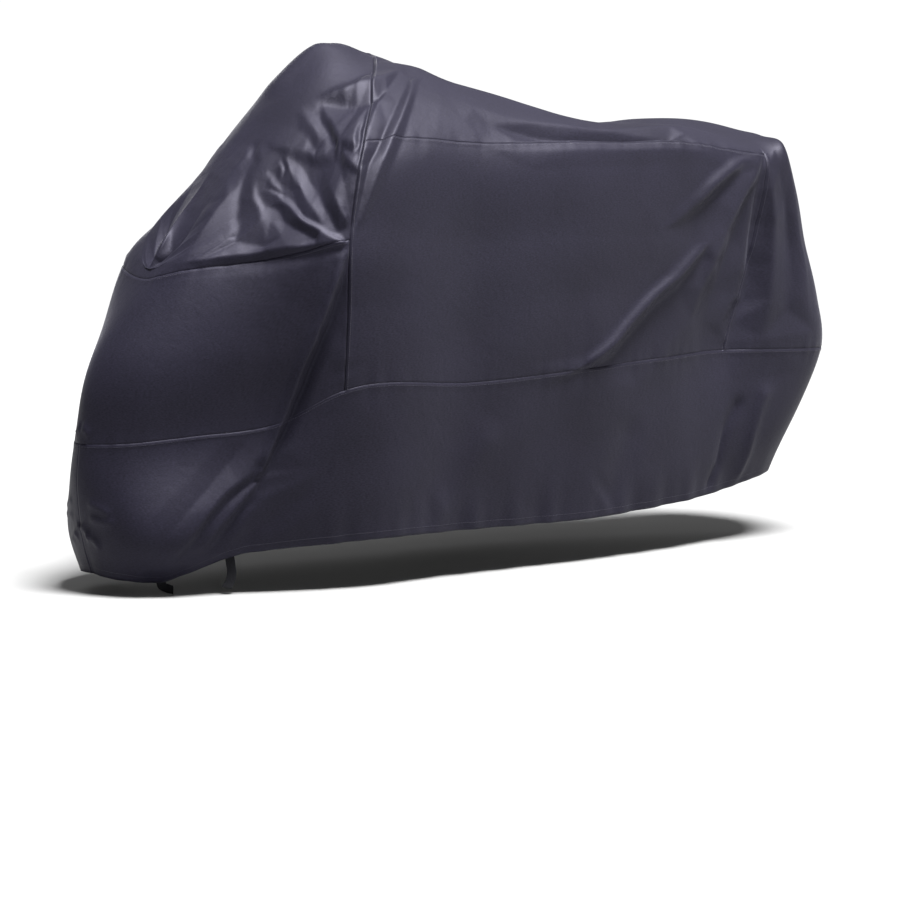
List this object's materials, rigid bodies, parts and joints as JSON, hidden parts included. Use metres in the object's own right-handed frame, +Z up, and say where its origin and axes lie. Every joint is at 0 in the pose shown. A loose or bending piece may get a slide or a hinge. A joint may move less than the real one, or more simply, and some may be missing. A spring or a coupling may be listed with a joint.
{
  "type": "motorcycle cover",
  "caption": "Fitted cloth cover in the shape it drapes in, hollow and open underneath, with a gathered hem and webbing tie ends.",
  "frame": {"origin": "on the ground under the middle of the whole cover's box", "axes": "+Z up, +X from the nose to the tail, -Y the side that the picture shows"},
  "size_m": [2.197, 0.734, 1.2945],
  "materials": {
    "cover_cloth": "fine plain weave with a slight sheen, grey-violet",
    "tie_webbing": "ribbed black webbing"
  },
  "bodies": {
    "root": {"hood": "cover_cloth", "front_shroud": "cover_cloth", "side_panel_left": "cover_cloth", "side_panel_right": "cover_cloth", "top_panel": "cover_cloth", "skirt_left": "cover_cloth", "skirt_right": "cover_cloth", "tie_short": "tie_webbing", "tie_long": "tie_webbing"}
  },
  "joints": []
}
